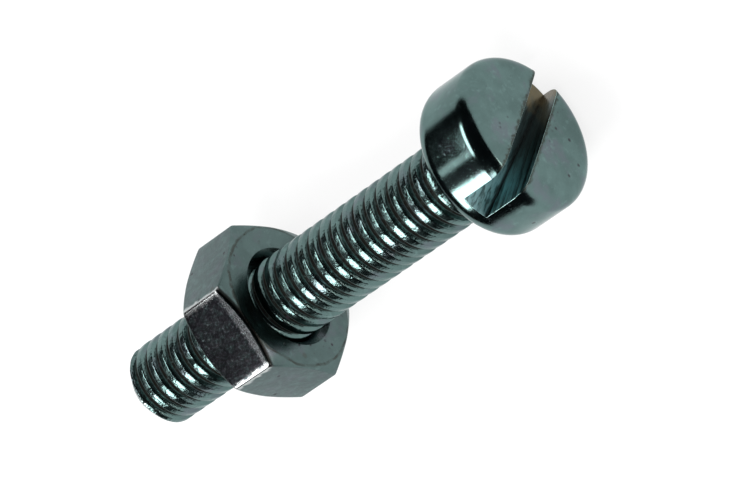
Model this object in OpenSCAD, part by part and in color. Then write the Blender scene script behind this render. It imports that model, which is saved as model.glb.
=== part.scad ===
// Slotted machine screw with a hexagon nut on its thread, in millimetres.
// The screw's axis is X: the head is towards +X and the tip towards -X. The origin is the centre of
// the face under the head. The screw lies as it would come to rest: on its head and a flat of the nut.

/* [Head] */
// Diameter of the head's cylindrical side
head_d = 7.3; // [6:0.1:9]
// Height of the head, from the face under it to the middle of its top
head_h = 3.65; // [3.2:0.05:5]
// Radius of the rounded shoulder between the head's side and its top
head_shoulder_r = 0.8; // [0.2:0.1:1.2]
// How far the middle of the top rises above the shoulder
head_crown_h = 0.05; // [0.02:0.01:0.4]
// Radius of the rounded lower corner of the head
head_foot_r = 0.9; // [0.2:0.05:0.9]

/* [Screwdriver slot] */
// Width of the slot
slot_w = 1.3; // [0.8:0.05:1.6]
// Depth of the slot, from the middle of the head's top
slot_d = 1.8; // [1.4:0.1:2]
// Turn of the slot about the screw's axis, from straight up
slot_turn = 23.5; // [-90:0.5:90]
// Slope of the slot's floor, deeper at the end that faces up
slot_slope = 11; // [0:1:12]

/* [Shank and thread] */
// Length of the shank, from the face under the head to the tip
shank_l = 21.8; // [12:0.1:40]
// Outer diameter of the thread
thread_d = 3.9; // [3.8:0.01:4]
// Distance from one turn of the thread to the next
pitch = 0.75; // [0.5:0.05:1]
// Width of the flat crest that is left on each turn
crest_w = 0.12; // [0.08:0.01:0.2]
// Width of the flat at the bottom of the thread
root_w = 0.12; // [0.08:0.01:0.2]
// Length of the plain neck between the head and the thread
neck_l = 0.75; // [0.5:0.05:2]
// How far the shank's flared foot stands out beyond the thread, where it meets the head
foot_lip = 0.1; // [0.05:0.01:0.3]
// Length of the shank's flared foot
foot_l = 0.3; // [0.1:0.05:0.35]
// Length of the chamfer at the tip
tip_l = 0.6; // [0.3:0.1:1]
// Diameter of the flat end face at the tip
tip_d = 2.7; // [2:0.1:3]

/* [Nut] */
// Width of the nut across its flats
nut_af = 7.0; // [6.6:0.1:8]
// Thickness of the nut
nut_t = 3.05; // [2.4:0.05:4]
// Diameter at which the chamfer on both faces of the nut starts
nut_face_d = 6.8; // [6:0.1:7]
// Angle between a nut face and its chamfer
nut_chamfer_angle = 30; // [15:1:35]
// Diameter of the countersunk mouth on both faces of the nut
nut_mouth_d = 4.8; // [4.2:0.1:5.4]
// Gap between the thread's outer diameter and the nut's bore, all round
nut_clearance = 0.07; // [0.02:0.01:0.1]
// Number of turns of thread between the plain neck and the nut
nut_turns = 15.5; // [0:0.5:18]

/* [Hidden] */
$fn = 96;
zinc = [0.40, 0.47, 0.46];
dull_zinc = [0.38, 0.44, 0.44];
// Angle between the two flanks of the thread
flank_angle = 60;
head_r = head_d / 2;
top_r = head_r - head_shoulder_r;
rim_h = head_h - head_crown_h;
thread_r = thread_d / 2;
groove_w = pitch - crest_w;
thread_depth = (groove_w - root_w) / 2 / tan(flank_angle / 2);
core_r = thread_r - thread_depth;
neck_r = thread_r - thread_depth / 2;
foot_r = thread_r + foot_lip;
tip_r = min(tip_d / 2, core_r);
thread_end = shank_l - tip_l;
slot_floor = head_h - slot_d;
bore_r = thread_r + nut_clearance;
nut_r = nut_af / 2 / cos(30);
nut_start = neck_l + nut_turns * pitch;
cone_slope = tan(nut_chamfer_angle);
// How far a cutting shape runs past what it cuts
overcut = 1;
overlap = 0.01;
shoulder_steps = 10;
crown_steps = 6;
foot_steps = 10;

// Half section of the head, as [radius, height]: a rounded lower corner, a straight side, a round
// shoulder and a slightly crowned top
head_section = concat(
    [[0, 0]],
    [for (i = [0:foot_steps])
        let (a = -90 + 90 * i / foot_steps)
        [head_r - head_foot_r + head_foot_r * cos(a), head_foot_r + head_foot_r * sin(a)]],
    [for (i = [0:shoulder_steps])
        let (a = 90 * i / shoulder_steps)
        [top_r + head_shoulder_r * cos(a), rim_h - head_shoulder_r + head_shoulder_r * sin(a)]],
    [for (i = [1:crown_steps])
        let (r = top_r * (1 - i / crown_steps))
        [r, rim_h + head_crown_h * (1 - pow(r / top_r, 2))]]
);

// Half section of one V groove, as [radius, distance from the head], with its first flank at start
function groove_section(start) = [
    [thread_r + overlap, start],
    [thread_r, start],
    [core_r, start + (groove_w - root_w) / 2],
    [core_r, start + (groove_w + root_w) / 2],
    [thread_r, start + groove_w],
    [thread_r + overlap, start + groove_w]
];

// Stands a turned shape along the screw, from the face under the head towards the tip
module towards_tip() {
    rotate([0, -90, 0]) children();
}

// Stands a turned shape along the screw, from the face under the head towards its top
module towards_head() {
    rotate([0, 90, 0]) children();
}

// The saw cut across the head, deeper at the end that faces up
module slot() {
    rotate([slot_turn, 0, 0])
        translate([slot_floor, 0, 0])
            rotate([0, -slot_slope, 0])
                translate([0, -slot_w / 2, -head_d])
                    cube([head_h + head_d, slot_w, 2 * head_d]);
}

module head() {
    difference() {
        towards_head() rotate_extrude() polygon(head_section);
        slot();
    }
}

// The shank: a flared foot and a plain neck under the head, the threaded length and a chamfered tip
module shank() {
    towards_tip() rotate_extrude() difference() {
        polygon([
            [0, -head_foot_r], [foot_r, -head_foot_r], [foot_r, 0],
            [neck_r, foot_l], [neck_r, neck_l - crest_w],
            [thread_r, neck_l - crest_w], [thread_r, thread_end], [tip_r, shank_l], [0, shank_l]
        ]);
        for (start = [neck_l:pitch:shank_l]) polygon(groove_section(start));
    }
}

module screw() {
    color(zinc) union() {
        head();
        shank();
    }
}

// Half section of the blank that the nut's hexagon is turned to: a cone on both faces
function nut_blank_section() = let (rim = nut_r + overcut, drop = (rim - nut_face_d / 2) * cone_slope) [
    [0, 0], [nut_face_d / 2, 0], [rim, drop], [rim, nut_t - drop],
    [nut_face_d / 2, nut_t], [0, nut_t]
];

// Half section of the nut's hole: a plain bore with a countersunk mouth at both ends
function nut_hole_section() = let (mouth_r = nut_mouth_d / 2, flare = mouth_r - bore_r) [
    [0, -overcut], [mouth_r + overcut, -overcut], [bore_r, flare], [bore_r, nut_t - flare],
    [mouth_r + overcut, nut_t + overcut], [0, nut_t + overcut]
];

module hex_nut() {
    color(dull_zinc) translate([-nut_start, 0, 0]) towards_tip() difference() {
        intersection() {
            rotate([0, 0, 30]) cylinder(r = nut_r, h = nut_t, $fn = 6);
            rotate_extrude() polygon(nut_blank_section());
        }
        rotate_extrude() polygon(nut_hole_section());
    }
}

screw();
hex_nut();
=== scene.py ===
"""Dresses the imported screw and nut: a slotted machine screw with its own helical thread, a hexagon nut
on it, their zinc plate, and the stage that they are photographed on.

Lengths are metres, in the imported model's frame: the screw's axis is X, the head is towards +X, and the
origin is the centre of the face under the head. The finishes work in millimetres.
"""

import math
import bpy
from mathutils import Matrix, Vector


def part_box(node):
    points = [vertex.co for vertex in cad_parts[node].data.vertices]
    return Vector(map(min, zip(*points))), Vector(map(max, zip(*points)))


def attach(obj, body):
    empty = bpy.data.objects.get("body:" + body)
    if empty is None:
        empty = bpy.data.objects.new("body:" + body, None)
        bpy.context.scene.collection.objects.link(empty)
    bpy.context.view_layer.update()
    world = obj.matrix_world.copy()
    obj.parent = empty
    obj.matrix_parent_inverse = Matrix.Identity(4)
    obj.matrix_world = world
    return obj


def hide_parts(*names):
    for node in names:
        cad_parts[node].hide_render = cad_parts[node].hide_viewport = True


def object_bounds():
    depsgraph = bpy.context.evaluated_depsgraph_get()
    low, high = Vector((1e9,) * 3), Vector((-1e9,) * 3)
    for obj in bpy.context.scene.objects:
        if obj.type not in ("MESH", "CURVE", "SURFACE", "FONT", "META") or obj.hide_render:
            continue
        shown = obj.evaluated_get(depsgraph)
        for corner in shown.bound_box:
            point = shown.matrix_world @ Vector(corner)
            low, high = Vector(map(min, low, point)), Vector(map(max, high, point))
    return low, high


bl_info = {
    "name": "Slotted machine screw with nut",
    "version": (1, 0, 0),
    "blender": (4, 5, 0),
    "location": "View3D > Sidebar > Machine screw",
    "description": "Builds a zinc-plated machine screw and its hexagon nut around a packed model",
    "category": "Add Mesh",
}

import bmesh
import bpy
from bpy.props import FloatProperty, FloatVectorProperty, PointerProperty
from mathutils import Euler, Matrix, Vector

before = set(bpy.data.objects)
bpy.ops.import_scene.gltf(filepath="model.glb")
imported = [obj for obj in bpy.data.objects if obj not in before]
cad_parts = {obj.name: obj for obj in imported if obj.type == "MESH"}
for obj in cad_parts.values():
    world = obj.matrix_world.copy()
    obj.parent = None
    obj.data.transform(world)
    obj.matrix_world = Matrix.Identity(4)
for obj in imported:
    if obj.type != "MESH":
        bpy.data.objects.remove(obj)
CAD_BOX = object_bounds()

MM = 0.001
SCREW_LOW, SCREW_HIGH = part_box("screw")
NUT_LOW, NUT_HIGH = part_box("hex_nut")

# Mesh resolution: points round the thread and along each flat and corner of the nut, and rings up
# each part of the head's and the nut's outlines
THREAD_COLUMNS = 112
FLAT_COLUMNS = 14
CORNER_COLUMNS = 4
FLARE_RINGS = 5
FOOT_RINGS = 12
SHOULDER_RINGS = 14
TOP_RINGS = 10
EDGE_RINGS = 5
# Distances within which points are joined: in one shell, where the head meets the shank, and in the
# mesh that the saw leaves
SHELL_WELD = 0.0002 * MM
SEAM_WELD = 0.0006 * MM
SAWN_WELD = 0.006 * MM

# Half of one thread form, from the middle of the crest to the middle of the root, as shares of
# half the pitch and of the thread's depth
THREAD_FORM = (
    (0.0, 0.0),
    (0.3, 0.004),
    (0.4, 0.018),
    (0.46, 0.065),
    (0.52, 0.17),
    (0.67, 0.55),
    (0.83, 0.9),
    (0.915, 0.985),
    (1.0, 1.0),
)
HALF_FORM = len(THREAD_FORM) - 1
ROWS_PER_PITCH = 2 * HALF_FORM
# Turns over which the thread rises out of the neck
RUN_OUT_TURNS = 0.9
# Share of the neck that flares out to meet the head
FLARE_SHARE = 0.75
# Rings of the tip's end face, as shares of its radius and heights above its rim
END_RINGS = ((0.9, 0.0), (0.55, 0.06 * MM))
END_DISH = 0.08 * MM

# The nut's rounded edges: how wide they are, and the most that they take of the chamfer
FACE_EASE = (0.05 * MM, 0.15)
FLAT_EASE = (0.1 * MM, 0.8)

# Sockets of a colour Mix node, whose names are shared by its other types of data
MIX_FACTOR, MIX_FIRST, MIX_SECOND, MIX_RESULT = 0, 6, 7, 2

# Colours of the marks on the plate
BLOTCH_BROWN = (0.06, 0.05, 0.036)
SLOT_EDGE_GRIME = (0.04, 0.037, 0.028)
# Painted highlights on the lit side of the tip's chamfer
TIP_PAINTED_GLINTS = (0.6, 0.7, 0.7)
CHAMFER_LINE = (0.04, 0.036, 0.03)
FLAT_STAIN = (0.06, 0.07, 0.076)
# Painted dark reflection on the flat that faces up
UPPER_FLAT_PAINTED_DARK = (0.052, 0.051, 0.06)
UPPER_FLAT_CHIPS = (0.2, 0.21, 0.22)
UPPER_FLAT_BAND = (0.2, 0.21, 0.215)
# Painted highlights on the nut's upper corners
CORNER_PAINTED_GLINT = (0.52, 0.54, 0.54)
# Colours inside the slot: the wall is painted lighter than the floor, as light and shade on one metal, and
# the corner line is painted shade
SLOT_FLOOR = (0.24, 0.41, 0.43)
SLOT_WALL = (0.36, 0.62, 0.64)
SLOT_CORNER_SHADE = (0.02, 0.022, 0.02)
SLOT_FAR_HALF = (0.03, 0.04, 0.038)
SLOT_FAR_END = (0.16, 0.135, 0.08)
# How much brighter the slot's worn lips are than the plate
LIP_BRIGHTNESS = 4.0

# How each finish looks: spots in each millimetre and the share of them that show, strength of the
# scratches, roughness, height of the bumps and strength of the fine mottling
SCREW_LOOKS = {
    "spot_scale": 1.6, "spot_share": 0.2, "scratch": 0.35,
    "roughness": 0.13, "bump": 0.5, "mottle": 0.25,
}
LIP_LOOKS = dict(SCREW_LOOKS, roughness=0.2, scratch=0.1)
NUT_LOOKS = {
    "spot_scale": 1.8, "spot_share": 0.25, "scratch": 0.3,
    "roughness": 0.18, "bump": 0.8, "mottle": 0.5,
}

# Point on the screw's axis that the lamps shine at
LAMP_AIM = Vector((-0.006, 0.0, 0.0))
WHITE = (1.0, 1.0, 1.0)
# Each lamp: name, direction from that point, direction of its long side, distance, length, width,
# radiance and colour
LAMPS = (
    ("key", (-0.52, -0.38, 0.76), (0.0, 0.91, 0.41), 0.34, 0.15, 0.15, 12.0, WHITE),
    ("strip", (0.1, -0.43, 0.9), (1.0, 0.0, 0.0), 0.35, 0.24, 0.08, 6.0, WHITE),
    ("low", (0.96, -0.26, 0.07), (0.26, 0.96, 0.0), 0.35, 0.14, 0.022, 6.0, (1.0, 0.86, 0.8)),
    ("edge", (-0.36, 0.52, 0.78), (0.0, 0.85, -0.52), 0.35, 0.24, 0.09, 9.0, WHITE),
    ("patch", (-0.59, 0.26, 0.76), (0.0, 0.95, -0.3), 0.37, 0.05, 0.09, 2.0, WHITE),
    ("fill", (-0.61, 0.0, 0.79), (0.0, 1.0, 0.0), 0.38, 0.1, 0.1, 0.07, (1.0, 0.88, 0.97)),
)

# The floor's half width, how much of its colour it scatters, and how much of its own glow is seen
FLOOR_REACH = 1.5
FLOOR_SCATTER = 0.86
FLOOR_GLOW = 0.8
# Strength of the world for light that isn't seen
WORLD_LIGHT = 0.95
# The dark tent over the table: its radius, its cloth, and how high its rim hangs above the horizon,
# in degrees, in front of the head and everywhere else
TENT_R = 0.45
TENT_COLOUR = (0.8, 0.85, 1.0)
TENT_GLOW = 0.015
TENT_RIM_AHEAD = 7.0
TENT_RIM = 3.0

# The camera that was fitted to the photograph
CAMERA_PLACE = Vector((127.358, 0.519, 174.908)) * MM
CAMERA_TURN = (-23.934, 29.807, -41.326)
CAMERA_SENSOR = 36.0
CAMERA_LENS = 243.41


class ScrewSizes(bpy.types.PropertyGroup):
    head_d: FloatProperty(
        name="Head diameter", description="Diameter of the head's side",
        default=SCREW_HIGH.y - SCREW_LOW.y, unit="LENGTH")
    head_h: FloatProperty(
        name="Head height", description="Height of the head, from the face under it to its top",
        default=SCREW_HIGH.x, unit="LENGTH")
    head_shoulder_r: FloatProperty(
        name="Shoulder radius", description="Radius of the round shoulder between the side and the top",
        default=0.8 * MM, unit="LENGTH")
    head_crown_h: FloatProperty(
        name="Crown", description="How far the middle of the top rises above the shoulder",
        default=0.05 * MM, unit="LENGTH")
    head_foot_r: FloatProperty(
        name="Lower corner", description="Radius of the head's lower corner",
        default=0.9 * MM, unit="LENGTH")
    slot_w: FloatProperty(
        name="Slot width", description="Width of the screwdriver slot",
        default=1.3 * MM, unit="LENGTH")
    slot_d: FloatProperty(
        name="Slot depth", description="Depth of the slot in the middle of the head",
        default=1.8 * MM, unit="LENGTH")
    slot_turn: FloatProperty(
        name="Slot turn", description="Turn of the slot about the screw's axis, from straight up",
        default=math.radians(23.5), subtype="ANGLE")
    slot_slope: FloatProperty(
        name="Slot slope", description="Slope of the slot's floor, deeper at the end that faces up",
        default=math.radians(11), subtype="ANGLE")
    slot_lip: FloatProperty(
        name="Slot lip", description="Width of the rounded lip along the slot's edges",
        default=0.07 * MM, unit="LENGTH")
    shank_l: FloatProperty(
        name="Shank length", description="Length from the face under the head to the tip",
        default=-SCREW_LOW.x, unit="LENGTH")
    thread_d: FloatProperty(
        name="Thread diameter", description="Outer diameter of the thread",
        default=3.9 * MM, unit="LENGTH")
    pitch: FloatProperty(
        name="Pitch", description="Distance from one turn of the thread to the next",
        default=0.75 * MM, unit="LENGTH")
    thread_depth: FloatProperty(
        name="Thread depth", description="Depth of the thread, from its crest to its root",
        default=0.3 * MM, unit="LENGTH")
    neck_l: FloatProperty(
        name="Neck", description="Length of the neck over which the thread runs out under the head",
        default=0.42 * MM, unit="LENGTH")
    foot_r: FloatProperty(
        name="Foot radius", description="Radius of the neck where it flares out to meet the head",
        default=2.05 * MM, unit="LENGTH")
    tip_l: FloatProperty(
        name="Tip chamfer", description="Length of the chamfer at the tip",
        default=0.6 * MM, unit="LENGTH")
    tip_d: FloatProperty(
        name="Tip diameter", description="Diameter of the end face at the tip",
        default=2.7 * MM, unit="LENGTH")
    thread_phase: FloatProperty(
        name="Thread start", description="Turn at which the thread's crest starts, about the axis",
        default=math.radians(-48), subtype="ANGLE")


class NutSizes(bpy.types.PropertyGroup):
    across_flats: FloatProperty(
        name="Across flats", description="Width of the nut across its flats",
        default=NUT_HIGH.z - NUT_LOW.z, unit="LENGTH")
    thickness: FloatProperty(
        name="Thickness", description="Thickness of the nut",
        default=NUT_HIGH.x - NUT_LOW.x, unit="LENGTH")
    place: FloatProperty(
        name="Place", description="Place along the axis of the face towards the head",
        default=NUT_HIGH.x, unit="LENGTH")
    face_d: FloatProperty(
        name="Face diameter", description="Diameter at which the chamfer on both faces starts",
        default=6.8 * MM, unit="LENGTH")
    chamfer: FloatProperty(
        name="Chamfer", description="Angle between a face and its chamfer",
        default=math.radians(30), subtype="ANGLE")
    mouth_d: FloatProperty(
        name="Mouth", description="Diameter of the countersunk mouths",
        default=4.8 * MM, unit="LENGTH")
    corner_r: FloatProperty(
        name="Corner radius", description="Radius of the hexagon's six corners",
        default=0.18 * MM, unit="LENGTH")
    clearance: FloatProperty(
        name="Clearance", description="Gap between the nut's thread and the screw's, along the radius",
        default=0.06 * MM, unit="LENGTH")
    major_r: FloatProperty(
        name="Bore radius", description="Largest radius of the nut's own thread",
        default=2.02 * MM, unit="LENGTH")
    minor_r: FloatProperty(
        name="Inner radius", description="Smallest radius of the nut's own thread",
        default=1.64 * MM, unit="LENGTH")


class Finishes(bpy.types.PropertyGroup):
    screw_zinc: FloatVectorProperty(
        name="Screw zinc", description="Colour of the screw's plate",
        default=(0.118, 0.188, 0.181), size=3, subtype="COLOR")
    nut_zinc: FloatVectorProperty(
        name="Nut zinc", description="Colour of the nut's plate",
        default=(0.102, 0.152, 0.148), size=3, subtype="COLOR")
    slot_zinc: FloatVectorProperty(
        name="Slot", description="Colour of the saw marks in the slot",
        default=(0.06, 0.095, 0.095), size=3, subtype="COLOR")
    # Also the colour of painted shade in the thread's roots and on the flanks that face the tip, and of a
    # painted dark band on the nut
    grime_and_shade: FloatVectorProperty(
        name="Grime", description="Colour of the dark film in the roots and corners",
        default=(0.012, 0.011, 0.009), size=3, subtype="COLOR")
    specks: FloatVectorProperty(
        name="Specks", description="Colour of the small spots on the plate",
        default=(0.045, 0.035, 0.045), size=3, subtype="COLOR")
    floor: FloatVectorProperty(
        name="Floor", description="Colour of the floor and the background",
        default=(1.0, 1.0, 1.0), size=3, subtype="COLOR")


class Wire:
    """A shader socket that can be used in a Python expression, which adds the Math nodes."""

    def __init__(self, finish, socket):
        self.finish = finish
        self.socket = socket

    def math(self, operation, first, second):
        return self.finish.node("ShaderNodeMath", {"operation": operation}, {0: first, 1: second})

    def __add__(self, other):
        return self.math("ADD", self, other)

    __radd__ = __add__

    def __mul__(self, other):
        return self.math("MULTIPLY", self, other)

    __rmul__ = __mul__

    def __sub__(self, other):
        return self.math("SUBTRACT", self, other)

    def __rsub__(self, other):
        return self.math("SUBTRACT", other, self)

    def __abs__(self):
        return self.finish.node("ShaderNodeMath", {"operation": "ABSOLUTE"}, {0: self})


class Finish:
    """The node tree of one material, or of the world."""

    def __init__(self, tree):
        self.tree = tree
        self.tree.nodes.clear()

    def node(self, kind, settings=None, sockets=None, output=0):
        """Adds a node, sets it, then sets or links its sockets, and returns one of its outputs."""
        node = self.tree.nodes.new(kind)
        for name, value in (settings or {}).items():
            setattr(node, name, value)
        for name, value in (sockets or {}).items():
            socket = node.inputs[name]
            if isinstance(value, Wire):
                self.tree.links.new(value.socket, socket)
            elif isinstance(value, (tuple, list)) and len(socket.default_value) == 4:
                socket.default_value = (*value[:3], 1.0)
            else:
                socket.default_value = value
        return Wire(self, node.outputs[output]) if node.outputs else None

    def blend(self, factor, first, second):
        """Mixes two colours by a factor."""
        settings = {"data_type": "RGBA", "blend_type": "MIX"}
        sockets = {MIX_FACTOR: factor, MIX_FIRST: first, MIX_SECOND: second}
        return self.node("ShaderNodeMix", settings, sockets, MIX_RESULT)

    def step(self, value, low, high, start=0.0, end=1.0):
        """Turns a value smoothly from start, at low, to end, at high."""
        sockets = {0: value, 1: low, 2: high, 3: start, 4: end}
        return self.node("ShaderNodeMapRange", {"interpolation_type": "SMOOTHSTEP"}, sockets)

    def fall(self, value, low, high):
        """Turns a value smoothly from 1, at low, to 0, at high."""
        return self.step(value, low, high, 1.0, 0.0)

    def noise(self, place, scale, detail=2.0, roughness=0.5):
        """Cloudy noise from 0 to 1, with about as many clouds in each millimetre as its scale."""
        sockets = {"Vector": place, "Scale": scale, "Detail": detail, "Roughness": roughness}
        return self.node("ShaderNodeTexNoise", {}, sockets)

    def coordinates(self, output):
        return self.node("ShaderNodeTexCoord", output=output)

    def part(self, vector, axis):
        """One component of a vector."""
        return self.node("ShaderNodeSeparateXYZ", {}, {"Vector": vector}, axis)

    def length(self, vector):
        return self.node("ShaderNodeVectorMath", {"operation": "LENGTH"}, {0: vector}, "Value")

    def scaled(self, vector, factors):
        """Multiplies a vector by three factors."""
        return self.node("ShaderNodeVectorMath", {"operation": "MULTIPLY"}, {0: vector, 1: factors})

    def turned(self, vector, angles):
        """Turns a vector about the origin by Euler angles."""
        settings = {"rotation_type": "EULER_XYZ"}
        return self.node("ShaderNodeVectorRotate", settings, {"Vector": vector, "Rotation": angles})


def new_finish(name):
    material = bpy.data.materials.new(name)
    material.use_nodes = True
    return material, Finish(material.node_tree)


def place_in_mm(finish):
    """The place of a point on the piece, in millimetres."""
    return finish.scaled(finish.coordinates("Object"), (1 / MM, 1 / MM, 1 / MM))


def axis_distance(finish, place):
    """How far a point is from the screw's axis, in millimetres."""
    return finish.length(finish.scaled(place, (0.0, 1.0, 1.0)))


def speck_mask(finish, place, scale, share, size):
    """Small round spots in a share of the cells of a pattern, with their radius as a share of a cell."""
    settings = {"feature": "F1"}
    cell = {"Vector": place, "Scale": scale, "Randomness": 1.0}
    distance = finish.node("ShaderNodeTexVoronoi", settings, cell)
    chance = finish.node("ShaderNodeTexVoronoi", settings, cell, "Color")
    chance = finish.node("ShaderNodeSeparateColor", {}, {0: chance})
    spot = finish.fall(distance, size * 0.45, size)
    return spot * finish.step(chance, 1.0 - share, 1.0 - share + 0.05)


def zinc_plate(name, colour, specks, looks, worn=None):
    """Zinc plate: clouds, purple-grey stains, fine grain, spots, pits, brown blotches and scratches.

    worn, where it is given, adds what one piece alone has: it takes the finish, the place, the base
    colour, the roughness and the relief, and returns the base colour, the roughness, the metallic
    share and the relief.
    """
    material, finish = new_finish(name)
    place = place_in_mm(finish)
    mottle = looks["mottle"]
    clouds = finish.noise(place, 0.55, detail=4.0, roughness=0.6)
    patches = finish.noise(place, 2.6, detail=3.0, roughness=0.6)
    grain = finish.noise(place, 26.0, detail=3.0, roughness=0.65)
    stains = finish.noise(finish.turned(place, (0.7, 0.2, 0.4)), 0.9, detail=3.0, roughness=0.55)
    stretched = finish.scaled(finish.turned(place, (0.5, 0.3, 0.9)), (0.8, 9.0, 9.0))
    scratches = finish.step(finish.noise(stretched, 1.6), 0.66, 0.72)
    spots = speck_mask(finish, place, looks["spot_scale"], looks["spot_share"], size=0.2)
    pits = speck_mask(finish, place, scale=5.5, share=0.03, size=0.4)
    blotches = speck_mask(finish, place, scale=1.3, share=0.09, size=0.24)
    pale = tuple(min(1.0, value * 1.3) for value in colour)
    deep = tuple(value * 0.76 for value in colour)
    purple = (colour[0] * 1.12, colour[1] * 0.82, colour[2] * 0.98)
    base = finish.blend(finish.step(clouds, 0.35, 0.65), deep, colour)
    base = finish.blend(finish.step(stains, 0.5, 0.7) * 0.7, base, purple)
    base = finish.blend(finish.step(patches, 0.55, 0.75) * 0.6, base, pale)
    base = finish.blend(finish.step(grain, 0.5, 0.8) * mottle, base, pale)
    rough = looks["roughness"] + (clouds - 0.5) * 0.12 + (patches - 0.5) * 0.08
    rough = rough + (grain - 0.5) * mottle * 0.4 + spots * 0.2 + scratches * 0.06
    relief = grain * (0.3 + mottle) + patches * 0.5 - spots * 0.8 - pits * 0.9 - scratches * 0.35
    metal = 1.0
    if worn:
        base, rough, metal, relief = worn(finish, place, base, rough, relief)
    base = finish.blend(spots * 0.8, base, specks)
    base = finish.blend(pits * 0.7, base, specks)
    base = finish.blend(blotches * 0.4, base, BLOTCH_BROWN)
    base = finish.blend(scratches * looks["scratch"], base, pale)
    normal = finish.node("ShaderNodeBump", {}, {
        "Strength": looks["bump"], "Distance": 0.006 * MM, "Height": relief})
    surface = finish.node("ShaderNodeBsdfPrincipled", {}, {
        "Base Color": base, "Metallic": metal, "Roughness": rough, "Normal": normal,
        "Specular IOR Level": 0.2, "Specular Tint": (0.75, 0.8, 0.8, 1.0)})
    finish.node("ShaderNodeOutputMaterial", {}, {"Surface": surface})
    return material


def slot_frame(finish, place, sizes):
    """Distance across the slot from its middle, along it, and out of its floor, in millimetres."""
    turned = finish.turned(place, (-sizes.slot_turn, 0.0, 0.0))
    along = finish.part(turned, "Z")
    floor = (sizes.head_h - sizes.slot_d) / MM
    above = finish.part(turned, "X") - floor
    above = above * math.cos(sizes.slot_slope) + along * math.sin(sizes.slot_slope)
    return finish.part(turned, "Y"), along, above


def screw_wear(sizes, colours):
    """What only the screw has: dirt and painted shade in the thread's roots, painted shade on the flanks
    that face the tip, dirt along the slot's edges, and a crumpled tip with painted highlights on one side.
    """
    thread_r = sizes.thread_d / 2 / MM
    chamfer_start = (sizes.tip_l - sizes.shank_l) / MM
    slot_side = sizes.slot_w / 2 / MM
    top = sizes.head_h / MM

    def worn(finish, place, base, rough, relief):
        axial = finish.part(place, "X")
        radius = axis_distance(finish, place)
        facing = finish.part(finish.coordinates("Normal"), "X")
        shank = finish.fall(axial, -0.6, -0.2)
        tip = finish.fall(axial, chamfer_start - 0.05, chamfer_start + 0.2)

        # Grime and painted shade in the roots, and painted shade on the flanks that face the tip
        uneven = finish.step(finish.noise(place, 3.2, detail=3.0, roughness=0.6), 0.25, 0.5)
        root = finish.fall(radius, thread_r - 0.22, thread_r - 0.155)
        tip_flank_shade = finish.fall(facing, -0.42, -0.14)
        tip_flank_shade = tip_flank_shade * finish.step(radius, thread_r - 0.17, thread_r - 0.07)
        grime_and_shade = (root + tip_flank_shade) * (1.0 - tip) * shank * (0.7 + uneven * 0.3)
        base = finish.blend(grime_and_shade, base, colours.grime_and_shade[:])

        # A ragged dark line along the slot's edges, on the head's top
        across, _, _ = slot_frame(finish, place, sizes)
        ragged = (finish.noise(place, 4.5, detail=3.0, roughness=0.7) - 0.5) * 0.5
        slot_edge = finish.fall(abs(across) + ragged, slot_side + 0.03, slot_side + 0.19)
        slot_edge = slot_edge * finish.step(axial, top - 0.45, top - 0.25)
        base = finish.blend(slot_edge * 0.75, base, SLOT_EDGE_GRIME)

        # Ripples on the shank, and painted highlights: bright sparkles on the lit side of the crumpled
        # chamfer at the tip
        ripples = finish.noise(place, 6.0)
        crumple = finish.noise(place, 5.0, detail=1.0)
        ring = tip * finish.step(facing, -0.96, -0.88)
        lit_side = finish.fall(finish.part(place, "Y"), -0.3, 0.8)
        painted_glints = finish.step(crumple, 0.5, 0.6) * ring * lit_side
        base = finish.blend(painted_glints * 0.7, base, TIP_PAINTED_GLINTS)
        relief = relief + ripples * shank * 7.0 + crumple * ring * 32.0
        rough = rough + shank * 0.055 + grime_and_shade * 0.35 + slot_edge * 0.2
        return base, rough, 1.0 - grime_and_shade * 0.9, relief

    return worn


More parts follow.
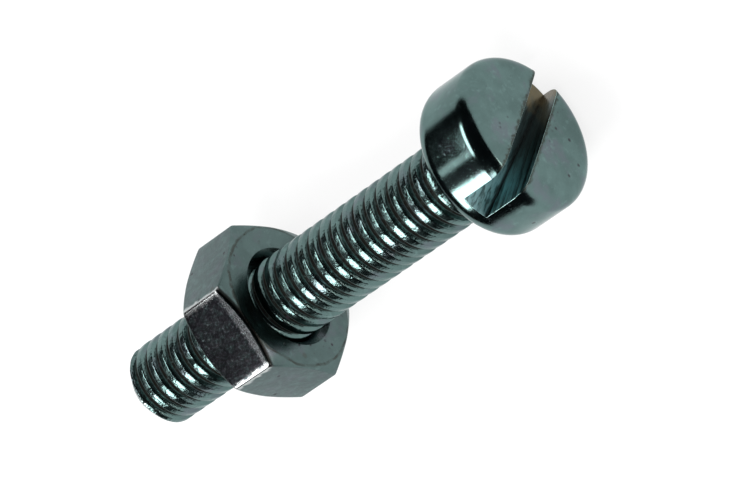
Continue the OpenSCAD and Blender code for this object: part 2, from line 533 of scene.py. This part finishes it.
def nut_wear(sizes, colours):
    """What only the nut has: lines along its chamfers, grimy mouths, a painted dark reflection on the
    upper flat, a painted dark band along its edge, and painted highlights on the upper corners.
    """
    face_r = sizes.face_d / 2 / MM
    mouth_r = sizes.mouth_d / 2 / MM
    flat_r = sizes.across_flats / 2 / MM
    corner_r = flat_r / math.cos(math.pi / 6)
    near = sizes.place / MM

    def worn(finish, place, base, rough, relief):
        radius = axis_distance(finish, place)
        height = finish.part(place, "Z")
        normal = finish.coordinates("Normal")
        facing = abs(finish.part(normal, "X"))

        # Broken brown lines where the chamfers start, and dirt in the mouths
        wobble = (finish.noise(place, 1.3) - 0.5) * 0.3
        line = finish.fall(abs(radius + wobble - face_r), 0.03, 0.09) * finish.step(facing, 0.5, 0.75)
        broken = finish.step(finish.noise(place, 2.1), 0.4, 0.6)
        grime_and_shade = line * (0.25 + broken * 0.4)
        mouth = finish.fall(radius, mouth_r - 0.1, mouth_r + 0.25)
        base = finish.blend(grime_and_shade, base, CHAMFER_LINE)
        base = finish.blend(mouth * broken * 0.2, base, colours.grime_and_shade[:])

        # Stained flats; the upper one carries a painted dark reflection and chips, with a pale band near
        # the head
        flat = finish.fall(facing, 0.15, 0.35)
        stain_and_shade_clouds = finish.noise(place, 3.4, detail=3.0, roughness=0.6)
        base = finish.blend(flat * finish.step(stain_and_shade_clouds, 0.35, 0.6, 0.15, 0.6), base, FLAT_STAIN)
        upper = flat * finish.step(finish.part(normal, "Z"), 0.6, 0.9)
        painted_dark_flat = upper * finish.step(stain_and_shade_clouds, 0.3, 0.6, 0.35, 0.95)
        base = finish.blend(painted_dark_flat, base, UPPER_FLAT_PAINTED_DARK)
        chips = speck_mask(finish, place, scale=4.5, share=0.22, size=0.36)
        base = finish.blend(chips * upper * 0.6, base, UPPER_FLAT_CHIPS)
        ahead = finish.part(place, "X") + (stain_and_shade_clouds - 0.5) * 0.3
        band = upper * finish.step(ahead, near - 0.62, near - 0.45)
        base = finish.blend(band * 0.5, base, UPPER_FLAT_BAND)

        # Painted shade along the faces' edge beside the upper flat, standing for a dark reflection, and
        # painted highlights on the upper flat's two corners
        lip = finish.step(height, flat_r - 0.24, flat_r - 0.14) * finish.step(facing, 0.3, 0.5)
        base = finish.blend(lip * 0.92, base, colours.grime_and_shade[:])
        corner = radius + (stain_and_shade_clouds - 0.5) * 0.25
        painted_corner_glint = finish.step(corner, corner_r - 0.13, corner_r - 0.06)
        painted_corner_glint = painted_corner_glint * finish.step(height, flat_r - 1.5, flat_r - 1.0)
        base = finish.blend(painted_corner_glint * 0.9, base, CORNER_PAINTED_GLINT)
        rough = rough + grime_and_shade * 0.2 + band * 0.08
        return base, rough, 1.0, relief + stain_and_shade_clouds * flat * 1.5 + band * 1.5

    return worn


def sawn_zinc(name, colours, sizes):
    """The inside of the slot: saw marks that run along it, on plate that turns black and then brown."""
    material, finish = new_finish(name)
    place = place_in_mm(finish)
    slot_side = sizes.slot_w / 2 / MM
    across, along, above = slot_frame(finish, place, sizes)
    turned = finish.turned(place, (-sizes.slot_turn, 0.0, 0.0))
    marks = finish.noise(finish.scaled(turned, (2.6, 2.6, 0.15)), 2.2, detail=4.0, roughness=0.65)
    patches = finish.noise(place, 2.2, detail=4.0, roughness=0.65)
    wall = finish.step(above, 0.02, 0.1)
    corner = finish.fall(across, 0.03 - slot_side, 0.17 - slot_side) * finish.fall(above, 0.06, 0.16)
    shift = along + (patches - 0.5) * 1.6
    # Painted light and shade: the wall lighter than the floor, and a dark line in one corner
    base = finish.blend(wall, SLOT_FLOOR, SLOT_WALL)
    base = finish.blend(finish.step(marks, 0.4, 0.56, 0.85, 0.0), base, colours.slot_zinc[:])
    base = finish.blend(corner * 0.8, base, SLOT_CORNER_SHADE)
    base = finish.blend(finish.step(shift, -0.9, 2.2, 0.88, 0.0), base, SLOT_FAR_HALF)
    base = finish.blend(finish.step(shift, -3.2, -2.3, 0.9, 0.0), base, SLOT_FAR_END)
    normal = finish.node("ShaderNodeBump", {}, {
        "Strength": 0.8, "Distance": 0.02 * MM, "Height": marks})
    surface = finish.node("ShaderNodeBsdfPrincipled", {}, {
        "Base Color": base, "Metallic": 1.0, "Roughness": 0.34 + (marks - 0.5) * 0.3,
        "Normal": normal})
    finish.node("ShaderNodeOutputMaterial", {}, {"Surface": surface})
    return material


def thread_rows(first, last, pitch):
    """Number of rows that carry a helical grid from one place on the axis to another."""
    return int(math.ceil(((first - last) / pitch + 1.0) * ROWS_PER_PITCH)) + 1


def thread_drop(row):
    """Share of the thread's depth at a row of a helical grid."""
    step = row % ROWS_PER_PITCH
    return THREAD_FORM[min(step, ROWS_PER_PITCH - step)][1]


def thread_reach(row):
    """Distance of a row from the grid's first one, as a share of the pitch."""
    turns, step = divmod(row, ROWS_PER_PITCH)
    if step <= HALF_FORM:
        return turns + THREAD_FORM[step][0] / 2
    return turns + 1.0 - THREAD_FORM[ROWS_PER_PITCH - step][0] / 2


def helix_grid(first, last, pitch, angles, phase, radius_at):
    """Rows of points that follow a right-hand thread from first to last, both cut square.

    radius_at gives a point's radius from its place on the axis and its share of the thread's depth.
    """
    grid = []
    crest = first + phase / (2 * math.pi) % 1.0 * pitch
    for row in range(thread_rows(crest, last, pitch) + ROWS_PER_PITCH):
        ring = []
        for angle in angles:
            along = crest - thread_reach(row) * pitch + pitch * angle / (2 * math.pi)
            place = min(max(along, last), first)
            radius = radius_at(place, thread_drop(row))
            ring.append((place, radius * math.cos(angle), radius * math.sin(angle)))
        grid.append(ring)
    return grid


def ring_of(place, radius, angles):
    return [(place, radius * math.cos(angle), radius * math.sin(angle)) for angle in angles]


class Shell:
    """Points and faces of one mesh, which is collected ring by ring."""

    def __init__(self):
        self.points = []
        self.faces = []

    def ring(self, points):
        start = len(self.points)
        self.points.extend(points)
        return range(start, start + len(points))

    def strip(self, upper, lower):
        """Joins two rings of as many points with quads."""
        count = len(upper)
        for i in range(count):
            j = (i + 1) % count
            self.faces.append((upper[i], upper[j], lower[j], lower[i]))

    def lid(self, ring, point):
        """Closes a ring with triangles that meet at a point."""
        middle = self.ring([point])[0]
        for i in range(len(ring)):
            self.faces.append((ring[i], ring[(i + 1) % len(ring)], middle))

    def helix(self, grid):
        """Adds a helical grid, and joins each turn's last column to the next turn's first."""
        rings = [self.ring(points) for points in grid]
        columns = range(len(rings[0]) - 1)
        for row, (upper, lower) in enumerate(zip(rings, rings[1:])):
            for i in columns:
                self.faces.append((upper[i], upper[i + 1], lower[i + 1], lower[i]))
            first = rings[max(row - ROWS_PER_PITCH, 0)]
            second = rings[max(row + 1 - ROWS_PER_PITCH, 0)]
            self.faces.append((upper[-1], first[0], second[0], lower[-1]))
        return rings

    def mesh(self, name):
        mesh = bpy.data.meshes.new(name)
        mesh.from_pydata(self.points, [], self.faces)
        work = bmesh.new()
        work.from_mesh(mesh)
        bmesh.ops.remove_doubles(work, verts=work.verts, dist=SHELL_WELD)
        bmesh.ops.dissolve_degenerate(work, edges=work.edges, dist=SHELL_WELD)
        bmesh.ops.recalc_face_normals(work, faces=work.faces)
        work.to_mesh(mesh)
        work.free()
        return mesh


def add_object(name, mesh):
    piece = bpy.data.objects.new(name, mesh)
    bpy.context.scene.collection.objects.link(piece)
    return piece


def even_angles(count):
    return [2 * math.pi * i / count for i in range(count)]


def quarter_turns(count):
    """Angles from 0 to a right angle, in equal steps."""
    return [math.pi / 2 * i / count for i in range(count + 1)]


def head_profile(sizes, neck_r):
    """Half section of the head as (place, radius), from the thread's first ring up to its top."""
    flare = sizes.neck_l * FLARE_SHARE
    spread = sizes.foot_r - neck_r
    corner = sizes.head_d / 2 - sizes.head_foot_r
    rim = sizes.head_h - sizes.head_crown_h
    top_r = sizes.head_d / 2 - sizes.head_shoulder_r
    profile = []
    for turn in quarter_turns(FLARE_RINGS):
        profile.append((-flare * (1 - math.sin(turn)), neck_r + spread * (1 - math.cos(turn))))
    profile.append((0.0, (sizes.foot_r + corner) / 2))
    for turn in quarter_turns(FOOT_RINGS):
        profile.append((
            sizes.head_foot_r * (1 - math.cos(turn)),
            corner + sizes.head_foot_r * math.sin(turn)))
    for turn in quarter_turns(SHOULDER_RINGS):
        profile.append((
            rim - sizes.head_shoulder_r * (1 - math.sin(turn)),
            top_r + sizes.head_shoulder_r * math.cos(turn)))
    for i in range(1, TOP_RINGS):
        share = 1 - i / TOP_RINGS
        profile.append((rim + sizes.head_crown_h * (1 - share ** 2), top_r * share))
    return profile


def slot_axes(sizes):
    """Unit vectors along the slot, across it, and out of its floor."""
    turn = Matrix.Rotation(sizes.slot_turn, 3, "X")
    tilt = Matrix.Rotation(-sizes.slot_slope, 3, "Y")
    along = turn @ tilt @ Vector((0, 0, 1))
    across = turn @ Vector((0, 1, 0))
    out = turn @ tilt @ Vector((1, 0, 0))
    return along, across, out


def slot_floor(sizes):
    """The middle of the slot's floor."""
    return Vector((sizes.head_h - sizes.slot_d, 0, 0))


def slot_cutter(sizes):
    """A box as wide as the slot, which stands on its floor and reaches out of the head."""
    along, across, out = slot_axes(sizes)
    reach = sizes.head_d
    mesh = bpy.data.meshes.new("slot_saw")
    work = bmesh.new()
    corners = []
    for up in (0, reach):
        for side in (-1, 1):
            for end in (-1, 1):
                sideways = across * (side * sizes.slot_w / 2)
                point = slot_floor(sizes) + out * up + sideways + along * (end * reach)
                corners.append(work.verts.new(point))
    for quad in ((0, 1, 3, 2), (4, 6, 7, 5), (0, 4, 5, 1), (2, 3, 7, 6), (0, 2, 6, 4), (1, 5, 7, 3)):
        work.faces.new([corners[i] for i in quad])
    bmesh.ops.recalc_face_normals(work, faces=work.faces)
    work.to_mesh(mesh)
    work.free()
    return add_object("slot_saw", mesh)


def saw_slot(head, sizes):
    """Cuts the slot across the head and leaves the cut mesh on it."""
    saw = slot_cutter(sizes)
    cut = head.modifiers.new("slot", "BOOLEAN")
    cut.operation = "DIFFERENCE"
    cut.solver = "EXACT"
    cut.object = saw
    bpy.context.view_layer.update()
    sawn = head.evaluated_get(bpy.context.evaluated_depsgraph_get())
    result = bpy.data.meshes.new_from_object(sawn)
    head.modifiers.clear()
    head.data = result
    bpy.data.objects.remove(saw)


def in_slot(face, sizes, axes):
    """Whether a face of the cut head belongs to the slot."""
    _, across, out = axes
    centre = face.calc_center_median() - slot_floor(sizes)
    near = 0.002 * MM
    parallel = 0.99
    side = abs(abs(centre.dot(across)) - sizes.slot_w / 2) < near
    wall = side and abs(face.normal.dot(across)) > parallel
    floor = abs(centre.dot(out)) < near and face.normal.dot(out) > parallel
    return wall or floor


def finish_slot(work, sizes):
    """Rounds the slot's edges into narrow lips of the third material and gives its faces the second."""
    axes = slot_axes(sizes)
    slot_faces = {face for face in work.faces if in_slot(face, sizes, axes)}
    if not slot_faces:
        raise RuntimeError("the saw left no slot in the head")
    lips = []
    for edge in work.edges:
        sides = [face in slot_faces for face in edge.link_faces]
        if len(sides) == 2 and sides[0] != sides[1]:
            lips.append(edge)
    for face in slot_faces:
        face.material_index = 1
    bmesh.ops.bevel(
        work, geom=lips, offset=sizes.slot_lip, offset_type="OFFSET", segments=2, profile=0.5,
        affect="EDGES", clamp_overlap=True, material=2)


def build_head(sizes, neck_r, angles):
    """The slotted head, open where the shank's first ring joins it."""
    shell = Shell()
    rings = []
    for place, radius in head_profile(sizes, neck_r):
        rings.append(shell.ring(ring_of(place, radius, angles)))
    for lower, upper in zip(rings, rings[1:]):
        shell.strip(upper, lower)
    shell.lid(rings[-1], (sizes.head_h, 0.0, 0.0))
    # The saw needs a closed solid, so the open end has a cap that is deleted again
    shell.faces.append(tuple(rings[0]))
    head = add_object("head_blank", shell.mesh("head_blank"))
    saw_slot(head, sizes)
    work = bmesh.new()
    work.from_mesh(head.data)
    caps = [face for face in work.faces if len(face.verts) >= len(angles) and face.normal.x < -0.9]
    bmesh.ops.delete(work, geom=caps, context="FACES_ONLY")
    bmesh.ops.remove_doubles(work, verts=work.verts, dist=SAWN_WELD)
    work.normal_update()
    finish_slot(work, sizes)
    mesh = bpy.data.meshes.new("head")
    work.to_mesh(mesh)
    work.free()
    bpy.data.objects.remove(head)
    return mesh


def screw_radius(sizes):
    """Radius of the screw's thread at a place and a share of the thread's depth, and of its neck."""
    thread_r = sizes.thread_d / 2
    tip_r = sizes.tip_d / 2
    neck_r = thread_r - sizes.thread_depth / 2
    run_out = RUN_OUT_TURNS * sizes.pitch

    def radius(place, drop):
        full = thread_r - sizes.thread_depth * drop
        run = min(max((-sizes.neck_l - place) / run_out, 0.0), 1.0)
        run = run * run * (3 - 2 * run)
        chamfer = tip_r + (place + sizes.shank_l) * (thread_r - tip_r) / sizes.tip_l
        return min(neck_r + (full - neck_r) * run, chamfer)

    return radius, neck_r


def build_shank(sizes, angles):
    """The helical thread with its run-out under the head, its chamfered tip and its end face."""
    radius, neck_r = screw_radius(sizes)
    start = -sizes.neck_l * FLARE_SHARE
    shell = Shell()
    grid = helix_grid(start, -sizes.shank_l, sizes.pitch, angles, sizes.thread_phase, radius)
    last = shell.helix(grid)[-1]
    rim = shell.points[last[0]]
    end_r = math.hypot(rim[1], rim[2])
    for share, height in END_RINGS:
        ring = shell.ring(ring_of(height - sizes.shank_l, end_r * share, angles))
        shell.strip(last, ring)
        last = ring
    shell.lid(last, (END_DISH - sizes.shank_l, 0.0, 0.0))
    return shell.mesh("shank"), neck_r


def join_meshes(name, meshes):
    """Joins meshes along their matching open rims into one."""
    work = bmesh.new()
    for mesh in meshes:
        work.from_mesh(mesh)
    bmesh.ops.remove_doubles(work, verts=work.verts, dist=SEAM_WELD)
    loose = [vert for vert in work.verts if not vert.link_faces]
    bmesh.ops.delete(work, geom=loose, context="VERTS")
    bmesh.ops.recalc_face_normals(work, faces=work.faces)
    whole = bpy.data.meshes.new(name)
    work.to_mesh(whole)
    work.free()
    for mesh in meshes:
        bpy.data.meshes.remove(mesh)
    return whole


def smooth(mesh, angle):
    """Shades a mesh smoothly, apart from edges that are sharper than an angle in degrees."""
    mesh.shade_smooth()
    mesh.set_sharp_from_angle(angle=math.radians(angle))


def rounded_hexagon(across_flats, corner_r):
    """Angles and radii of a hexagon with small round corners and a flat that faces +Z."""
    outline = []
    flat_r = across_flats / 2
    half_turn = math.pi / 6
    corner_place = (flat_r - corner_r) / math.cos(half_turn)
    half = (flat_r - corner_r) * math.tan(half_turn)
    for side in range(6):
        middle = math.pi / 2 + side * 2 * half_turn
        normal = Vector((math.cos(middle), math.sin(middle)))
        along = Vector((-normal.y, normal.x))
        for i in range(FLAT_COLUMNS):
            share = -1 + 2 * i / FLAT_COLUMNS
            outline.append(normal * flat_r + along * (half * share))
        corner = middle + half_turn
        centre = Vector((math.cos(corner), math.sin(corner))) * corner_place
        for i in range(CORNER_COLUMNS):
            turn = middle + 2 * half_turn * i / CORNER_COLUMNS
            outline.append(centre + Vector((math.cos(turn), math.sin(turn))) * corner_r)
    polar = sorted((math.atan2(point.y, point.x) % (2 * math.pi), point.length) for point in outline)
    return [angle for angle, _ in polar], [radius for _, radius in polar]


def nut_outside(sizes, outline_r):
    """For one column of the nut, (distance from the near face, radius) down its outside."""
    face_r = sizes.face_d / 2
    slope = math.tan(sizes.chamfer)
    chamfer_w = outline_r - face_r
    ease = min(FACE_EASE[0], FACE_EASE[1] * chamfer_w)
    edge = min(FLAT_EASE[0], FLAT_EASE[1] * chamfer_w)
    half = [
        (0.0, (sizes.mouth_d / 2 + face_r) / 2),
        (0.0, face_r - ease),
        (ease * slope * 0.3, face_r),
        (ease * slope, face_r + ease),
    ]
    for i in range(EDGE_RINGS + 1):
        share = i / EDGE_RINGS
        inward = (1 - share) ** 2 * edge
        half.append((chamfer_w * slope - inward * slope + share ** 2 * edge, outline_r - inward))
    far = [(sizes.thickness - depth, radius) for depth, radius in reversed(half)]
    return half + [(sizes.thickness / 2, outline_r)] + far


def build_nut(nut, screw):
    """The nut, whose thread follows the screw's at the nut's place."""
    angles, outline = rounded_hexagon(nut.across_flats, nut.corner_r)
    radius, _ = screw_radius(screw)
    mouth_r = nut.mouth_d / 2
    near = nut.place
    far = nut.place - nut.thickness

    def bore(place, drop):
        thread = radius(place, drop) + nut.clearance
        thread = min(max(thread, nut.minor_r), nut.major_r)
        return max(thread, mouth_r - (near - place), mouth_r - (place - far))

    shell = Shell()
    # The nut's crest line is the screw's, so that the two threads run in step
    lead = (-screw.neck_l * FLARE_SHARE - near) / screw.pitch
    phase = screw.thread_phase + 2 * math.pi * lead
    rings = shell.helix(helix_grid(near, far, screw.pitch, angles, phase, bore))
    columns = [nut_outside(nut, outline_r) for outline_r in outline]
    outer = []
    for row in zip(*columns):
        points = []
        for angle, (depth, outline_r) in zip(angles, row):
            points.append((near - depth, outline_r * math.cos(angle), outline_r * math.sin(angle)))
        outer.append(shell.ring(points))
    for upper, lower in zip(outer, outer[1:]):
        shell.strip(upper, lower)
    shell.strip(rings[0], outer[0])
    shell.strip(outer[-1], rings[-1])
    return shell.mesh("nut")


class SCREW_OT_slotted_screw(bpy.types.Operator):
    """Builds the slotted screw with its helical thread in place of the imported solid"""

    bl_idname = "machine_screw.slotted_screw"
    bl_label = "Slotted screw"

    def execute(self, context):
        sizes = context.scene.screw_sizes
        colours = context.scene.screw_finishes
        zinc = colours.screw_zinc[:]
        specks = colours.specks[:]
        angles = even_angles(THREAD_COLUMNS)
        shank, neck_r = build_shank(sizes, angles)
        head = build_head(sizes, neck_r, angles)
        mesh = join_meshes("slotted_screw", [head, shank])
        smooth(mesh, 32)
        screw = add_object("slotted_screw", mesh)
        wear = screw_wear(sizes, colours)
        mesh.materials.append(zinc_plate("screw_zinc_plate", zinc, specks, SCREW_LOOKS, wear))
        mesh.materials.append(sawn_zinc("slot_saw_marks", colours, sizes))
        bright = tuple(min(1.0, value * LIP_BRIGHTNESS) for value in zinc)
        mesh.materials.append(zinc_plate("slot_lip_metal", bright, specks, LIP_LOOKS))
        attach(screw, "screw")
        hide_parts("screw")
        return {"FINISHED"}


class SCREW_OT_hex_nut(bpy.types.Operator):
    """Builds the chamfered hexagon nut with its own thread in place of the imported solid"""

    bl_idname = "machine_screw.hex_nut"
    bl_label = "Hexagon nut"

    def execute(self, context):
        sizes = context.scene.nut_sizes
        colours = context.scene.screw_finishes
        mesh = build_nut(sizes, context.scene.screw_sizes)
        smooth(mesh, 25)
        nut = add_object("hexagon_nut", mesh)
        zinc = colours.nut_zinc[:]
        wear = nut_wear(sizes, colours)
        mesh.materials.append(zinc_plate("nut_zinc_plate", zinc, colours.specks[:], NUT_LOOKS, wear))
        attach(nut, "nut")
        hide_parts("hex_nut")
        return {"FINISHED"}


def seen_rays(finish):
    """1 for rays from the camera and for those that a reflection or a glass sends on, and else 0."""
    camera = finish.node("ShaderNodeLightPath", output="Is Camera Ray")
    glossy = finish.node("ShaderNodeLightPath", output="Is Glossy Ray")
    glass = finish.node("ShaderNodeLightPath", output="Is Transmission Ray")
    return camera + glossy + glass


def add_floor(colour, height):
    """A plain floor that keeps the object's shadow and is seen in its own colour."""
    mesh = bpy.data.meshes.new("floor")
    work = bmesh.new()
    bmesh.ops.create_grid(work, x_segments=1, y_segments=1, size=FLOOR_REACH)
    bmesh.ops.translate(work, verts=work.verts, vec=(0, 0, height))
    work.to_mesh(mesh)
    work.free()
    material, finish = new_finish("floor_paper")
    scatter = tuple(value * FLOOR_SCATTER for value in colour)
    matt = finish.node("ShaderNodeBsdfDiffuse", {}, {"Color": scatter})
    glow = finish.node("ShaderNodeEmission", {}, {"Color": colour, "Strength": 1.0})
    mixed = finish.node("ShaderNodeMixShader", {}, {0: seen_rays(finish) * FLOOR_GLOW, 1: matt, 2: glow})
    finish.node("ShaderNodeOutputMaterial", {}, {"Surface": mixed})
    mesh.materials.append(material)
    add_object("floor", mesh)


def add_tent():
    """A dark tent over the table, open near the floor, which the metal shows as its dark parts."""
    mesh = bpy.data.meshes.new("tent")
    work = bmesh.new()
    bmesh.ops.create_uvsphere(work, u_segments=72, v_segments=90, radius=TENT_R)
    below = []
    for vert in work.verts:
        ahead = vert.co.x > 0.5 * math.hypot(vert.co.x, vert.co.y)
        rim = math.radians(TENT_RIM_AHEAD if ahead else TENT_RIM)
        if vert.co.z < TENT_R * math.sin(rim):
            below.append(vert)
    bmesh.ops.delete(work, geom=below, context="VERTS")
    work.to_mesh(mesh)
    work.free()
    material, finish = new_finish("tent_cloth")
    glow = finish.node("ShaderNodeEmission", {}, {"Color": TENT_COLOUR, "Strength": TENT_GLOW})
    finish.node("ShaderNodeOutputMaterial", {}, {"Surface": glow})
    mesh.materials.append(material)
    tent = add_object("tent", mesh)
    tent.visible_camera = False
    tent.visible_diffuse = False
    tent.visible_shadow = False
    tent.visible_transmission = False


def add_softbox(name, direction, along, distance, length, width, radiance, colour):
    """Hangs a rectangular lamp whose long side runs along a direction and that shines at the piece."""
    light = bpy.data.lights.new(name, "AREA")
    light.shape = "RECTANGLE"
    light.size = length
    light.size_y = width
    light.energy = radiance * math.pi * length * width
    light.color = colour
    lamp = bpy.data.objects.new(name, light)
    bpy.context.scene.collection.objects.link(lamp)
    lamp.visible_camera = False
    towards = Vector(direction).normalized()
    across = towards.cross(Vector(along)).normalized()
    turn = Matrix((across.cross(towards), across, towards)).transposed()
    lamp.matrix_world = Matrix.Translation(LAMP_AIM + towards * distance) @ turn.to_4x4()


def set_world(colour):
    world = bpy.data.worlds.new("studio")
    bpy.context.scene.world = world
    world.use_nodes = True
    finish = Finish(world.node_tree)
    strength = finish.step(seen_rays(finish), 0.0, 1.0, WORLD_LIGHT, 1.0)
    sky = finish.node("ShaderNodeBackground", {}, {"Color": colour, "Strength": strength})
    finish.node("ShaderNodeOutputWorld", {}, {"Surface": sky})


def add_camera():
    data = bpy.data.cameras.new("camera")
    data.sensor_width = CAMERA_SENSOR
    data.lens = CAMERA_LENS
    data.clip_start = 0.01
    data.clip_end = 20.0
    camera = bpy.data.objects.new("camera", data)
    camera.location = CAMERA_PLACE
    camera.rotation_euler = Euler([math.radians(angle) for angle in CAMERA_TURN])
    bpy.context.scene.collection.objects.link(camera)
    bpy.context.scene.camera = camera


class SCREW_OT_stage(bpy.types.Operator):
    """Sets the floor, the tent, the lights and the camera"""

    bl_idname = "machine_screw.stage"
    bl_label = "Stage"

    def execute(self, context):
        colour = context.scene.screw_finishes.floor[:]
        add_floor(colour, CAD_BOX[0][2])
        add_tent()
        set_world(colour)
        for lamp in LAMPS:
            add_softbox(*lamp)
        add_camera()
        context.scene.view_settings.view_transform = "Standard"
        return {"FINISHED"}


class SCREW_PT_sidebar(bpy.types.Panel):
    bl_label = "Machine screw"
    bl_idname = "SCREW_PT_sidebar"
    bl_space_type = "VIEW_3D"
    bl_region_type = "UI"
    bl_category = "Machine screw"

    def draw(self, context):
        for operator in (SCREW_OT_slotted_screw, SCREW_OT_hex_nut, SCREW_OT_stage):
            self.layout.operator(operator.bl_idname)
        for group in (context.scene.screw_sizes, context.scene.nut_sizes, context.scene.screw_finishes):
            box = self.layout.box()
            for name in group.__annotations__:
                box.prop(group, name)


CLASSES = (
    ScrewSizes, NutSizes, Finishes,
    SCREW_OT_slotted_screw, SCREW_OT_hex_nut, SCREW_OT_stage, SCREW_PT_sidebar,
)


def register():
    for entry in CLASSES:
        bpy.utils.register_class(entry)
    bpy.types.Scene.screw_sizes = PointerProperty(type=ScrewSizes)
    bpy.types.Scene.nut_sizes = PointerProperty(type=NutSizes)
    bpy.types.Scene.screw_finishes = PointerProperty(type=Finishes)


def unregister():
    del bpy.types.Scene.screw_finishes
    del bpy.types.Scene.nut_sizes
    del bpy.types.Scene.screw_sizes
    for entry in reversed(CLASSES):
        bpy.utils.unregister_class(entry)


def main():
    register()
    bpy.ops.machine_screw.slotted_screw()
    bpy.ops.machine_screw.hex_nut()
    bpy.ops.machine_screw.stage()


if __name__ == "__main__":
    main()
